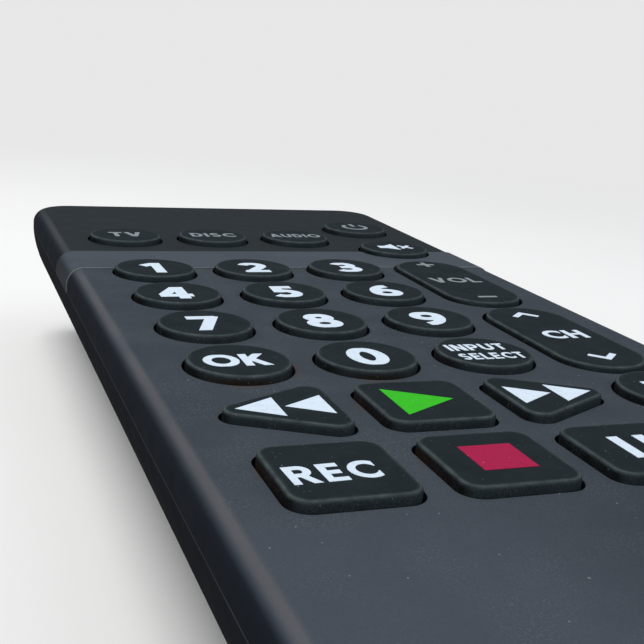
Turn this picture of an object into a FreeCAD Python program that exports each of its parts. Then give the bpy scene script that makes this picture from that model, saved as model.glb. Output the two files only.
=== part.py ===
"""Hand-held remote control with a rubber key field, a slide-off battery door and two dry cells.

Millimetres. +Z is up, +Y points to the infrared end, and the origin is the middle of the rest face.
Each function makes one piece where it sits at rest, and the last lines write every piece to its own file.
"""

import FreeCAD
import Part
import math
import os

# Key field. Names that start with rows_to count key pitches from the first row of digits
pitch = 12.5
key_width = 9.7
side_margin = 5.35
head_length = 50.0
square_corner = 1.6
arrow_corner = 1.5
arrow_tip = 1.35
key_gap = 0.3
key_rise = 0.8
key_rim = 0.3
key_travel = 0.8
rocker_length = 23.0
rocker_end_gap = 0.5
rocker_tilt = 4.0
rocker_drop = 0.25
pivot_diameter = 0.9
pivot_length = 0.8
pivot_gap = 0.3
cheek_thickness = 0.8
cheek_width = 3.0
cheek_drop = 1.9
flange_rim = 0.7
flange_thickness = 0.8
flange_gap = 0.3
stem_width = 5.0
rows_to_source = 1.65
rows_to_mute = 1.02
rows_to_power = 2.25
rows_to_rocker = -0.55
rows_to_screws = -4.5
last_row = -5

# Case
deck_wall = 2.2
shoulder_radius = 2.0
parting_drop = 3.0
far_corner = 6.0
near_corner = 13.0
side_flare = 2.2
shell_wall = 2.0
hull_edge_radius = 3.5
lip_height = 0.7
lip_thickness = 0.9
lip_gap = 0.15
rib_thickness = 1.2
rib_under_board = 3.5
rows_to_ribs = (-3.5, -1.5, 0.5, 2.0)

# Divider band
rows_to_band_near = 0.2
rows_to_band_far = 1.0
band_depth = 0.9
band_proud = 0.15
band_gap = 0.08

# Board and key mat
board_thickness = 1.2
board_margin = 4.6
board_past_keys = 6.875
board_far_inset = 6.5
board_corner = 3.0
board_gap = 0.3
mat_thickness = 1.0
mat_inset = 0.6
mat_clearance = 0.5
pad_size = 4.2
pad_thickness = 0.05
contact_gap = 0.05

# Cells and battery bay
cell_diameter = 10.5
cell_length = 44.5
cell_nipple_width = 3.6
cell_nipple_length = 0.9
cell_clearance = 0.3
cell_bridge = 0.5
bay_ceiling = 1.1
bay_wall = 2.0
bay_spring_room = 5.0
bay_tail_wall = 6.38
leaf_width = 4.5
leaf_thickness = 0.3
leaf_height = 6.4
contact_plate = 0.4
contact_width = 8.6
contact_height = 8.4
contact_crown = 0.7
contact_bridge_height = 3.0

# Battery door
door_thickness = 1.8
door_width = 28.0
door_gap = 0.3
door_rail_width = 1.0
door_rail_height = 1.0
door_tongue = 0.8
door_rail_inset = 3.5
grip_count = 6
grip_spacing = 1.6
grip_length = 12.0
grip_depth = 0.4
grip_width = 0.8
grip_inset = 5.0

# Screws and snap hooks
screw_shank = 2.2
screw_head = 4.6
screw_head_height = 1.6
screw_clearance = 0.15
screw_tip_gap = 0.1
screw_seat = 6.0
post_diameter = 4.6
boss_diameter = 7.6
boss_gap = 1.07
boss_headroom = 0.1
hook_width = 6.0
hook_thickness = 1.2
hook_depth = 3.0
hook_catch = 0.8
hook_spread = 30.0

# Infrared end
window_width = 20.0
window_height = 7.1
window_drop = 2.1
window_gap = 0.12
led_diameter = 5.0
led_length = 8.2
led_nose = 1.6
led_setback = 0.6
led_lead = 0.5
led_lead_spacing = 2.54
led_lead_run = 2.5

# Parts under the board
chip_length = 13.0
chip_width = 7.5
chip_height = 1.7
chip_standoff = 0.2
chip_legs = 7
chip_leg_pitch = 1.78
chip_leg_reach = 1.2
chip_leg_width = 0.4
rows_to_chip = -1.6
resonator_length = 6.5
resonator_width = 2.6
resonator_height = 3.4
resonator_offset = 5.5
capacitor_diameter = 5.0
capacitor_length = 8.0
capacitor_gap = 1.5
resistor_count = 5
resistor_length = 3.2
resistor_width = 1.6
resistor_height = 0.6
resistor_spacing = 2.6
rows_to_resistors = 0.6
part_gap = 0.02

# Lengths of the case, which follow from the cells, screws and keys in it
bay_length = cell_length + bay_spring_room
screws_to_bay = bay_wall + boss_gap + boss_diameter / 2
case_length = bay_tail_wall + bay_length + screws_to_bay - rows_to_screws * pitch + head_length
case_width = 3 * pitch + key_width + 2 * side_margin
half_length = case_length / 2
half_width = case_width / 2
reach = case_length + case_width

# Heights that follow from the stack of pieces
cell_z = door_thickness + cell_clearance + cell_diameter / 2
bay_top = cell_z + cell_diameter / 2 + cell_clearance
board_bottom = bay_top + bay_ceiling + board_gap
board_top = board_bottom + board_thickness
mat_top = board_top + mat_thickness
flange_bottom = mat_top + key_travel + flange_gap
flange_top = flange_bottom + flange_thickness
deck_underside = flange_top + flange_gap
deck_top = deck_underside + deck_wall
parting_z = deck_top - parting_drop
stem_bottom = board_top + pad_thickness + contact_gap + key_travel
window_high = parting_z - window_drop
window_low = window_high - window_height
led_z = board_bottom - led_diameter / 2 - part_gap

# Places along the case
first_row_y = half_length - head_length
screw_y = first_row_y + rows_to_screws * pitch
bay_tail_y = bay_tail_wall - half_length
bay_head_y = bay_tail_y + bay_length
door_head_y = bay_head_y - door_gap
band_near_y = first_row_y + rows_to_band_near * pitch
band_far_y = first_row_y + rows_to_band_far * pitch
board_near_y = first_row_y + last_row * pitch - board_past_keys
board_far_y = half_length - board_far_inset
led_tip_y = half_length - shell_wall - led_setback

# Widths that follow
floor_half = half_width - parting_z - side_flare
cell_x = cell_diameter / 2 + cell_bridge / 2
flange_half = key_width / 2 + flange_rim
# A flange reaches towards the screw post between four keys, and stops a gap short of it
flange_reach = pitch / math.sqrt(2) - post_diameter / 2 - flange_gap
flange_clip = 2 * flange_half - math.sqrt(2) * flange_reach


def vector(x, y, z):
    """A point or direction."""
    return FreeCAD.Vector(x, y, z)


def box(x_low, x_high, y_low, y_high, z_low, z_high):
    """A block between two corners."""
    return Part.makeBox(x_high - x_low, y_high - y_low, z_high - z_low, vector(x_low, y_low, z_low))


def rod(x, y, z_low, z_high, diameter):
    """An upright round bar."""
    return Part.makeCylinder(diameter / 2, z_high - z_low, vector(x, y, z_low))


def rod_along_y(x, y_low, y_high, z, diameter):
    """A round bar that lies along Y."""
    return Part.makeCylinder(diameter / 2, y_high - y_low, vector(x, y_low, z), vector(0, 1, 0))


def joined(shapes):
    """All shapes fused into one, with shared faces cleaned."""
    return shapes[0].multiFuse(shapes[1:]).removeSplitter() if len(shapes) > 1 else shapes[0]


def rounded_outline(corners, z):
    """A closed wire through (x, y, radius) corners, each rounded by an arc of its radius."""
    starts = []
    for index, (x, y, radius) in enumerate(corners):
        here = vector(x, y, z)
        before = vector(corners[index - 1][0], corners[index - 1][1], z) - here
        after_corner = corners[(index + 1) % len(corners)]
        after = vector(after_corner[0], after_corner[1], z) - here
        before.normalize()
        after.normalize()
        half_angle = before.getAngle(after) / 2
        tangent = radius / math.tan(half_angle)
        towards_centre = before + after
        towards_centre.normalize()
        centre = here + towards_centre * (radius / math.sin(half_angle))
        arc_middle = centre - towards_centre * radius
        starts.append((here + before * tangent, arc_middle, here + after * tangent))
    edges = []
    for index, (arc_start, arc_middle, arc_end) in enumerate(starts):
        edges.append(Part.Arc(arc_start, arc_middle, arc_end).toShape())
        next_start = starts[(index + 1) % len(starts)][0]
        edges.append(Part.makeLine(arc_end, next_start))
    return Part.Wire(edges)


def clipped_outline(x_low, x_high, y_low, y_high, clip, z):
    """A closed rectangular wire with clipped corners."""
    points = [
        vector(x_high, y_high - clip, z),
        vector(x_high - clip, y_high, z),
        vector(x_low + clip, y_high, z),
        vector(x_low, y_high - clip, z),
        vector(x_low, y_low + clip, z),
        vector(x_low + clip, y_low, z),
        vector(x_high - clip, y_low, z),
        vector(x_high, y_low + clip, z),
    ]
    return Part.makePolygon(points + points[:1])


def prism(wire, height):
    """The upright solid of a flat wire."""
    return Part.Face(wire).extrude(vector(0, 0, height))


def grown(wire, distance):
    """A flat wire moved outwards by a distance."""
    return wire.makeOffset2D(distance)


def plan_outline(z, inset):
    """The case seen from above at one height, offset inwards."""
    x_edge = half_width - inset
    y_edge = half_length - inset
    far_radius = far_corner - inset
    near_radius = near_corner - inset
    corners = [
        (x_edge, y_edge, far_radius),
        (-x_edge, y_edge, far_radius),
        (-x_edge, -y_edge, near_radius),
        (x_edge, -y_edge, near_radius),
    ]
    return rounded_outline(corners, z)


def hull(inset):
    """The boat-shaped lower half, offset inwards.

    Its section is an arc that touches the rest plane at the edge of the flat floor and passes
    through the widest point at the parting line. The edges at the two ends are rounded.
    """
    centre_z = ((half_width - floor_half) ** 2 + parting_z ** 2) / (2 * parting_z)
    radius = centre_z - inset
    last_angle = math.asin((parting_z - centre_z) / radius)
    middle_angle = (last_angle - math.pi / 2) / 2
    widest = floor_half + radius * math.cos(last_angle)
    bulge_x = floor_half + radius * math.cos(middle_angle)
    bulge_z = centre_z + radius * math.sin(middle_angle)
    y = -half_length
    low_right = vector(floor_half, y, inset)
    low_left = vector(-floor_half, y, inset)
    high_right = vector(widest, y, parting_z)
    high_left = vector(-widest, y, parting_z)
    right = Part.Arc(low_right, vector(bulge_x, y, bulge_z), high_right).toShape()
    left = Part.Arc(high_left, vector(-bulge_x, y, bulge_z), low_left).toShape()
    top = Part.makeLine(high_right, high_left)
    bottom = Part.makeLine(low_left, low_right)
    bar = Part.Face(Part.Wire([right, top, left, bottom])).extrude(vector(0, case_length, 0))
    block = bar.common(prism(plan_outline(0, inset), parting_z))
    if inset > 0:
        return block
    return block.makeFillet(hull_edge_radius, [edge for edge in block.Edges if is_lower_rim(edge)])


def is_lower_rim(edge):
    """Whether an edge of the hull is one of those round the ends, below the parting line."""
    bounds = edge.BoundBox
    low = bounds.ZMin < parting_z - 1
    upright = bounds.XMax - bounds.XMin < 0.01 and bounds.YMax - bounds.YMin < 0.01
    lengthwise = bounds.YMax - bounds.YMin > case_length / 2
    return low and not upright and not lengthwise


def deck_block(top, inset):
    """The upper half as a solid block with a rounded shoulder, offset inwards."""
    block = prism(plan_outline(parting_z, inset), top - parting_z)
    rim = [edge for edge in block.Edges if edge.BoundBox.ZMin > top - 0.01]
    return block.makeFillet(shoulder_radius - inset, rim)


def round_outline(x, y, z):
    """The outline of a round key."""
    return Part.Wire(Part.makeCircle(key_width / 2, vector(x, y, z)))


def square_outline(x, y, z):
    """The outline of a square key with rounded corners."""
    half = key_width / 2
    signs = [(1, 1), (-1, 1), (-1, -1), (1, -1)]
    return rounded_outline([(x + half * i, y + half * j, square_corner) for i, j in signs], z)


def arrow_outline(x, y, z, direction):
    """The outline of a three-cornered key whose tip points along X."""
    half = key_width / 2
    # Each corner is put out so far that its arc ends at the key's width
    tip = half
    side = half
    for _ in range(10):
        slope = math.atan2(side, tip + half)
        tip = half + arrow_tip * (1 / math.sin(slope) - 1)
        side = half + arrow_corner * (1 / math.tan(math.pi / 4 - slope / 2) - 1)
    corners = [
        (x + direction * tip, y, arrow_tip),
        (x - direction * half, y + side, arrow_corner),
        (x - direction * half, y - side, arrow_corner),
    ]
    return rounded_outline(corners, z)


def stadium_outline(x, y, z, length):
    """The outline of a long key with round ends."""
    half = key_width / 2
    end = length / 2
    radius = half - 0.01
    signs = [(1, 1), (-1, 1), (-1, -1), (1, -1)]
    return rounded_outline([(x + half * i, y + end * j, radius) for i, j in signs], z)


def left_arrow_outline(x, y, z):
    """The rewind key's outline."""
    return arrow_outline(x, y, z, -1)


def right_arrow_outline(x, y, z):
    """The forward key's outline."""
    return arrow_outline(x, y, z, 1)


def key_layout():
    """Every single key: its name, column, row (both in pitches) and outline."""
    keys = []
    for number in range(1, 10):
        keys.append(("key_%d" % number, (number - 1) % 3, -((number - 1) // 3), round_outline))
    keys.append(("key_ok", 0, -3, round_outline))
    keys.append(("key_0", 1, -3, round_outline))
    keys.append(("key_text", 2, -3, round_outline))
    keys.append(("key_rewind", 0, last_row + 1, left_arrow_outline))
    keys.append(("key_play", 1, last_row + 1, square_outline))
    keys.append(("key_forward", 2, last_row + 1, right_arrow_outline))
    keys.append(("key_record", 0, last_row, square_outline))
    keys.append(("key_stop", 1, last_row, square_outline))
    keys.append(("key_pause", 2, last_row, square_outline))
    keys.append(("key_menu", 3, last_row + 1, round_outline))
    keys.append(("key_back", 3, last_row, round_outline))
    keys.append(("key_mute", 3, rows_to_mute, round_outline))
    keys.append(("key_power", 3, rows_to_power, round_outline))
    for number in range(1, 4):
        keys.append(("key_source_%d" % number, number - 1, rows_to_source, round_outline))
    return keys


def rocker_layout():
    """The two rocking keys: name, column and row of the pivot."""
    return [("rocker_volume", 3, rows_to_rocker), ("rocker_channel", 3, rows_to_rocker - 2)]


def column_x(column):
    """Where a key column lies across the case."""
    return (column - 1.5) * pitch


def row_y(row):
    """Where a key row lies along the case."""
    return first_row_y + row * pitch


def screw_places():
    """The two screws as (x, y), midway between key columns."""
    return [(-pitch, screw_y), (pitch, screw_y)]


def contact_places():
    """Every place where a stem meets the board, as (x, y)."""
    places = [(column_x(column), row_y(row)) for name, column, row, outline in key_layout()]
    for name, column, row in rocker_layout():
        places.append((column_x(column), row_y(row) + pitch / 2))
        places.append((column_x(column), row_y(row) - pitch / 2))
    return places


def key_holes():
    """The prisms that the key field cuts through the deck."""
    low = deck_underside - 1
    height = deck_top - low + 2
    holes = []
    for name, column, row, outline in key_layout():
        wire = grown(outline(column_x(column), row_y(row), low), key_gap)
        holes.append(prism(wire, height))
    hole_length = rocker_length + 2 * (rocker_end_gap - key_gap)
    for name, column, row in rocker_layout():
        wire = grown(stadium_outline(column_x(column), row_y(row), low, hole_length), key_gap)
        holes.append(prism(wire, height))
    return holes


def hooks():
    """The two snap hooks that hold the head end of the deck to the lower half."""
    wall_y = half_length - shell_wall - lip_gap - lip_thickness - lip_gap
    made = []
    for side in (-1, 1):
        x_low = side * hook_spread / 2 - hook_width / 2
        x_high = x_low + hook_width
        tip_z = parting_z - hook_depth
        made.append(box(x_low, x_high, wall_y - hook_thickness, wall_y, tip_z, deck_underside))
        made.append(box(x_low, x_high, wall_y, wall_y + hook_catch, tip_z, tip_z + hook_catch))
    return made


def pivot_cheeks():
    """The ribs under the deck that hold each rocker's pivot pins, and the slots to cut in them."""
    ribs = []
    slots = []
    pivot_z = (flange_bottom + flange_top) / 2
    slot = pivot_diameter / 2 + pivot_gap
    rib_half = cheek_width / 2
    rib_low = deck_underside - cheek_drop
    for name, column, row in rocker_layout():
        x = column_x(column)
        y = row_y(row)
        for side in (-1, 1):
            inner = x + side * (flange_half + pivot_gap)
            low, high = sorted((inner, inner + side * cheek_thickness))
            ribs.append(box(low, high, y - rib_half, y + rib_half, rib_low, deck_underside))
            slots.append(box(low, high, y - slot, y + slot, rib_low - slot, pivot_z))
            start = vector(low, y, pivot_z)
            slots.append(Part.makeCylinder(slot, cheek_thickness, start, vector(1, 0, 0)))
    return ribs, slots


def upper_case():
    """The deck with its key holes, band seat, rounded shoulders and screw posts."""
    low = parting_z - 1
    shell = deck_block(deck_top, 0)
    core = deck_block(deck_top - band_depth, band_depth)
    seat = box(-reach, reach, band_near_y, band_far_y, low, deck_top + 1).cut(core)
    cavity = prism(plan_outline(low, shell_wall), deck_underside - low)
    shell = shell.cut([seat, cavity])
    posts = []
    for x, y in screw_places():
        posts.append(rod(x, y, board_bottom, deck_underside + deck_wall / 2, post_diameter))
    shell = shell.fuse(posts)
    ribs, slots = pivot_cheeks()
    shell = shell.fuse(hooks() + ribs)
    pilots = []
    for x, y in screw_places():
        pilots.append(rod(x, y, low - reach, deck_underside, screw_shank + 2 * screw_clearance))
    return shell.cut(key_holes() + pilots + slots)


def divider_band():
    """The saddle strip over the deck and both shoulders, seated in its groove."""
    outer = deck_block(deck_top + band_proud, -band_proud)
    core = deck_block(deck_top - band_depth + band_gap, band_depth - band_gap)
    near = band_near_y + band_gap
    far = band_far_y - band_gap
    slab = box(-reach, reach, near, far, parting_z, deck_top + 1)
    strip = outer.common(slab).cut(core)
    return strip.cut(key_holes())


def stem_block(x, y, z_low):
    """The square plunger under a key."""
    half = stem_width / 2
    return box(x - half, x + half, y - half, y + half, z_low, flange_bottom + flange_thickness / 2)


def single_key(column, row, outline):
    """A key cap with a rounded rim, the flange that keeps it in, and the stem below."""
    x = column_x(column)
    y = row_y(row)
    top = deck_top + key_rise
    cap = prism(outline(x, y, flange_bottom), top - flange_bottom)
    rim = [edge for edge in cap.Edges if edge.BoundBox.ZMin > top - 0.01]
    cap = cap.makeChamfer(key_rim, rim)
    side = flange_half
    skirt = clipped_outline(x - side, x + side, y - side, y + side, flange_clip, flange_bottom)
    flange = prism(skirt, flange_thickness)
    return joined([cap, flange, stem_block(x, y, stem_bottom)])


def rocker_key(column, row):
    """A long key that rocks on two side pins, with a stem under each end."""
    x = column_x(column)
    y = row_y(row)
    top = deck_top + key_rise - rocker_drop
    cap = prism(stadium_outline(x, y, flange_bottom, rocker_length), top - flange_bottom)
    rim = [edge for edge in cap.Edges if edge.BoundBox.ZMin > top - 0.01]
    cap = cap.makeChamfer(key_rim, rim)
    ear_y = stem_width / 2
    ears = box(x - flange_half, x + flange_half, y - ear_y, y + ear_y, flange_bottom, flange_top)
    pin_reach = flange_half + pivot_gap + pivot_length
    pin_start = vector(x - pin_reach, y, (flange_bottom + flange_top) / 2)
    pin = Part.makeCylinder(pivot_diameter / 2, 2 * pin_reach, pin_start, vector(1, 0, 0))
    tilt = math.radians(rocker_tilt)
    stem_z = board_top + pad_thickness + contact_gap + (pitch / 2 + stem_width / 2) * math.sin(tilt)
    stems = []
    for side in (-1, 1):
        stems.append(stem_block(x, y + side * pitch / 2, stem_z))
    return joined([cap, ears, pin] + stems)


def keypad_mat():
    """The rubber sheet on the board, with a hole for each stem and post."""
    x_edge = half_width - board_margin - mat_inset
    y_low = board_near_y + mat_inset
    y_high = board_far_y - board_margin
    outline = clipped_outline(-x_edge, x_edge, y_low, y_high, board_corner, board_top)
    sheet = prism(outline, mat_thickness)
    cuts = []
    half = stem_width / 2 + mat_clearance
    for x, y in contact_places():
        cuts.append(box(x - half, x + half, y - half, y + half, board_top - 1, mat_top + 1))
    for x, y in screw_places():
        cuts.append(rod(x, y, board_top - 1, mat_top + 1, post_diameter + 2 * mat_clearance))
    return sheet.cut(cuts)


def circuit_board():
    """The board, with clearance holes for the screw posts."""
    x_edge = half_width - board_margin
    outline = clipped_outline(-x_edge, x_edge, board_near_y, board_far_y, board_corner, board_bottom)
    sheet = prism(outline, board_thickness)
    cuts = []
    for x, y in screw_places():
        cuts.append(rod(x, y, board_bottom - 1, board_top + 1, post_diameter + 2 * mat_clearance))
    return sheet.cut(cuts)


def contact_pads():
    """A carbon pad on the board under each stem."""
    half = pad_size / 2
    pads = [
        box(x - half, x + half, y - half, y + half, board_top, board_top + pad_thickness)
        for x, y in contact_places()
    ]
    return Part.makeCompound(pads)


def door_space(y_low):
    """The room for the door plate, its rails and its tail cap, with the door gap all round."""
    wide = door_width / 2 + door_gap
    rail_low = door_thickness + door_gap
    rail_high = rail_low + door_rail_height
    inner = wide - door_rail_width
    top = rail_high + door_tongue + 2 * door_gap
    cap_y = bay_tail_y
    plate = box(-wide, wide, y_low, bay_head_y, -1, rail_low)
    throat = box(-inner, inner, y_low, bay_head_y, rail_low - 1, rail_high + 1)
    groove = box(-wide, wide, y_low, bay_head_y, rail_high, top)
    cap = box(-wide, wide, y_low, cap_y, -1, top)
    return joined([plate, throat, groove, cap])


def door_cap_y():
    """Where the thicker tail cap of the door begins, clear of the bay's tail wall."""
    return bay_tail_y - door_gap


def lower_case():
    """The boat-shaped shell with the battery bay, door rails, screw bosses and board ribs."""
    outer = hull(0)
    shell = outer.cut(hull(shell_wall))
    bay_side = door_width / 2 + door_gap + bay_wall
    ceiling = bay_top + bay_ceiling
    bay = box(-bay_side, bay_side, -reach, bay_head_y + bay_wall, 0, ceiling)
    adds = [bay]
    for x, y in screw_places():
        adds.append(rod(x, y, 0, board_bottom - boss_headroom, boss_diameter))
    rib_tip = half_width - board_margin - rib_under_board
    rib_half = rib_thickness / 2
    for row in rows_to_ribs:
        for side in (-1, 1):
            low, high = sorted((side * rib_tip, side * half_width))
            y = row_y(row)
            adds.append(box(low, high, y - rib_half, y + rib_half, 0, board_bottom))
    lip_outer = shell_wall + lip_gap
    lip_inner = lip_outer + lip_thickness
    lip_top = parting_z + lip_height
    low = parting_z - 2 * lip_height
    root_low = parting_z - lip_height
    ring_up = prism(plan_outline(low, lip_outer), lip_top - low)
    ring_in = prism(plan_outline(low - 1, lip_inner), lip_top - low + 2)
    root = prism(plan_outline(low, shell_wall - lip_gap), root_low - low)
    lip = ring_up.fuse(root).cut(ring_in)
    inside = joined([piece.common(outer) for piece in adds])
    cell_side = cell_x + cell_diameter / 2 + cell_clearance
    cell_room = box(-cell_side, cell_side, bay_tail_y, bay_head_y, door_thickness, bay_top)
    shell = shell.fuse([inside, lip])
    cuts = [cell_room, door_space(-reach)]
    for x, y in screw_places():
        cuts.append(rod(x, y, -1, screw_seat, screw_head + 4 * screw_clearance))
        cuts.append(rod(x, y, -1, board_bottom, screw_shank + 2 * screw_clearance))
    cuts.append(window_block(window_gap))
    return shell.cut(cuts).removeSplitter()


def window_block(margin):
    """The box that the infrared window fills at the far end, grown by a margin."""
    half = window_width / 2 + margin
    far = half_length + 1
    return box(-half, half, half_length / 2, far, window_low - margin, window_high + margin)


def ir_window():
    """The dark window that closes the far end in front of the emitter."""
    wall = hull(0).cut(hull(shell_wall))
    return wall.common(window_block(0))


def battery_door():
    """The sliding door: a plate cut from the hull, a tail cap, two guide rails and thumb grooves."""
    half = door_width / 2
    outer = hull(0)
    plate = outer.common(box(-half, half, -reach, door_head_y, 0, door_thickness))
    rail_low = door_thickness + door_gap
    tongue_low = rail_low + door_rail_height + door_gap
    tongue_high = tongue_low + door_tongue
    cap_room = box(-half, half, -reach, door_cap_y(), 0, tongue_high)
    cap = outer.common(cap_room)
    inner = half - door_rail_width - door_gap
    rail_near = door_cap_y() + door_rail_inset
    rail_far = door_head_y - door_rail_inset
    pieces = [plate, cap]
    for side in (-1, 1):
        web = sorted((side * (inner - door_rail_width), side * inner))
        tongue = sorted((side * (inner - door_rail_width), side * half))
        pieces.append(box(web[0], web[1], rail_near, rail_far, door_thickness / 2, tongue_high))
        pieces.append(box(tongue[0], tongue[1], rail_near, rail_far, tongue_low, tongue_high))
    door = joined(pieces)
    grooves = []
    for index in range(grip_count):
        y = door_head_y - grip_inset - index * grip_spacing
        x = grip_length / 2
        grooves.append(box(-x, x, y - grip_width / 2, y + grip_width / 2, -1, grip_depth))
    return door.cut(grooves)


def cell(side):
    """One dry cell: its can and the small cap at the plus end."""
    x = side * cell_x
    middle = (bay_head_y + bay_tail_y) / 2
    shift = bay_spring_room / 2 - contact_plate - contact_crown
    low = middle - cell_length / 2 + side * shift
    can_length = cell_length - cell_nipple_length
    can_low = low if side > 0 else low + cell_nipple_length
    can = rod_along_y(x, can_low, can_low + can_length, cell_z, cell_diameter)
    plus_end = low + cell_length if side > 0 else low
    cap_low, cap_high = sorted((middle, plus_end))
    return can.fuse(rod_along_y(x, cap_low, cap_high, cell_z, cell_nipple_width))


def cells():
    """Both dry cells with the name of each node."""
    return {"cell_left": cell(-1), "cell_right": cell(1)}


def bow(x, y_seat, foot, depth):
    """A bowed line whose feet stand on a contact plate and whose crest stands out by a depth."""
    low = vector(x, y_seat, cell_z - foot)
    crest = vector(x, y_seat + depth, cell_z)
    high = vector(x, y_seat, cell_z + foot)
    return Part.Arc(low, crest, high).toShape()


def leaf(x, y_seat, direction):
    """A bowed leaf spring on a contact plate, pressed against the flat end of a cell."""
    rise = bay_spring_room - 2 * contact_plate - contact_crown - part_gap
    foot = leaf_height / 2
    left = x - leaf_width / 2
    outer = bow(left, y_seat, foot, direction * rise)
    inner = bow(left, y_seat, foot - leaf_thickness, direction * (rise - leaf_thickness))
    low_foot = Part.makeLine(inner.Vertexes[0].Point, outer.Vertexes[0].Point)
    high_foot = Part.makeLine(outer.Vertexes[1].Point, inner.Vertexes[1].Point)
    band = Part.Wire([outer, high_foot, inner, low_foot])
    return Part.Face(band).extrude(vector(leaf_width, 0, 0))


def plate(x, y_wall, direction):
    """A flat spring-steel plate that stands against an end wall of the bay."""
    half = contact_width / 2
    low = cell_z - contact_height / 2
    y_low, y_high = sorted((y_wall, y_wall + direction * contact_plate))
    return box(x - half, x + half, y_low, y_high, low, low + contact_height)


def crown(x, y_wall, direction):
    """A plate with the raised button that meets a cell's plus cap."""
    face = y_wall + direction * contact_plate
    button = Part.makeCylinder(
        cell_nipple_width / 2,
        contact_crown,
        vector(x, face, cell_z),
        vector(0, direction, 0),
    )
    return plate(x, y_wall, direction).fuse(button)


def solder_tab(x, y_wall):
    """The leg of a head-end contact that runs up through the bay's end wall to the board."""
    half = contact_plate * 2
    return box(x - half, x + half, y_wall - contact_plate, y_wall, cell_z, bay_top)


def minus_contact():
    """The head-end plate and leaf spring that press on the left cell."""
    return joined([
        plate(-cell_x, bay_head_y, -1),
        solder_tab(-cell_x, bay_head_y),
        leaf(-cell_x, bay_head_y - contact_plate, -1),
    ])


def plus_contact():
    """The head-end plate that meets the right cell's plus cap."""
    return crown(cell_x, bay_head_y, -1).fuse(solder_tab(cell_x, bay_head_y))


def bridge_contact():
    """The tail-end plate that joins both cells in series, with its leaf spring and button."""
    half = contact_bridge_height / 2
    face_y = bay_tail_y + contact_plate
    joint = box(-cell_x, cell_x, bay_tail_y, face_y, cell_z - half, cell_z + half)
    spring = leaf(cell_x, face_y, 1)
    return joined([crown(-cell_x, bay_tail_y, 1), plate(cell_x, bay_tail_y, 1), joint, spring])


def case_screws():
    """Two screws from below."""
    screws = []
    for x, y in screw_places():
        head = rod(x, y, screw_seat - screw_head_height, screw_seat, screw_head)
        shank_low = screw_seat - screw_head_height / 2
        shank = rod(x, y, shank_low, deck_underside - screw_tip_gap, screw_shank)
        screws.append(head.fuse(shank))
    return Part.makeCompound(screws)


def ir_emitter():
    """The infrared lamp: its barrel and the tapered nose behind the window."""
    barrel_end = led_tip_y - led_nose
    barrel = rod_along_y(0, led_tip_y - led_length, barrel_end, led_z, led_diameter)
    nose = Part.makeCone(
        led_diameter / 2,
        led_diameter / 2 - led_nose,
        led_nose,
        vector(0, barrel_end, led_z),
        vector(0, 1, 0),
    )
    return joined([barrel, nose])


def ir_leads():
    """The two bent legs that carry the emitter to the board."""
    high = led_tip_y - led_length - part_gap
    low = high - led_lead_run
    half = led_lead / 2
    legs = []
    for side in (-1, 1):
        x = side * led_lead_spacing / 2
        along = box(x - half, x + half, low, high, led_z - half, led_z + half)
        up = box(x - half, x + half, low, low + led_lead, led_z - half, board_bottom - part_gap)
        legs.append(along.fuse(up))
    return Part.makeCompound(legs)


def under_board(x, y, width, length, height, drop):
    """A block that hangs below the board, centred on (x, y), its top a drop under the board."""
    top = board_bottom - part_gap - drop
    return box(x - width / 2, x + width / 2, y - length / 2, y + length / 2, top - height, top)


def control_chip():
    """The remote's controller under the board, with its two rows of legs."""
    y = row_y(rows_to_chip)
    pieces = [under_board(0, y, chip_width, chip_length, chip_height, chip_standoff)]
    leg_x = chip_width / 2 + (chip_leg_reach - chip_standoff) / 2
    leg_length = chip_leg_reach + chip_standoff
    for index in range(chip_legs):
        leg_y = y + (index - (chip_legs - 1) / 2) * chip_leg_pitch
        for side in (-1, 1):
            leg_height = chip_standoff + part_gap
            pieces.append(under_board(side * leg_x, leg_y, leg_length, chip_leg_width, leg_height, 0))
    return joined(pieces)


def resonator():
    """The ceramic resonator beside the controller."""
    x = chip_width / 2 + resonator_offset
    return under_board(x, row_y(rows_to_chip), resonator_width, resonator_length, resonator_height, 0)


def capacitor():
    """The reservoir capacitor, lying under the board near the bay."""
    radius = capacitor_diameter / 2
    y = bay_head_y + bay_wall + capacitor_gap + radius
    start = vector(-capacitor_length / 2, y, board_bottom - radius - part_gap)
    return Part.makeCylinder(radius, capacitor_length, start, vector(1, 0, 0))


def resistors():
    """The small chip resistors in a row under the board."""
    y = row_y(rows_to_resistors)
    pieces = []
    for index in range(resistor_count):
        x = (index - (resistor_count - 1) / 2) * resistor_spacing
        pieces.append(under_board(x, y, resistor_width, resistor_length, resistor_height, 0))
    return Part.makeCompound(pieces)


def all_pieces():
    """Every piece by its node name."""
    pieces = {
        "upper_case": upper_case(),
        "lower_case": lower_case(),
        "divider_band": divider_band(),
        "battery_door": battery_door(),
        "ir_window": ir_window(),
        "keypad_mat": keypad_mat(),
        "circuit_board": circuit_board(),
        "contact_pads": contact_pads(),
        "minus_contact": minus_contact(),
        "plus_contact": plus_contact(),
        "bridge_contact": bridge_contact(),
        "case_screws": case_screws(),
        "ir_emitter": ir_emitter(),
        "ir_leads": ir_leads(),
        "control_chip": control_chip(),
        "resonator": resonator(),
        "capacitor": capacitor(),
        "resistors": resistors(),
    }
    pieces.update(cells())
    for name, column, row, outline in key_layout():
        pieces[name] = single_key(column, row, outline)
    for name, column, row in rocker_layout():
        pieces[name] = rocker_key(column, row)
    return pieces


os.makedirs("parts", exist_ok=True)
for node, shape in all_pieces().items():
    shape.exportStep("parts/" + node + ".step")
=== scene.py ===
"""Hand-held remote control with a rubber key field, dressed for a close view along its keys.

Metres, +Z up, +Y towards the infrared end. Sizes in the sections are millimetres where a name ends in _mm.
"""

import math

import bmesh
import bpy
import numpy as np
from mathutils import Matrix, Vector
from mathutils.geometry import delaunay_2d_cdt


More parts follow.
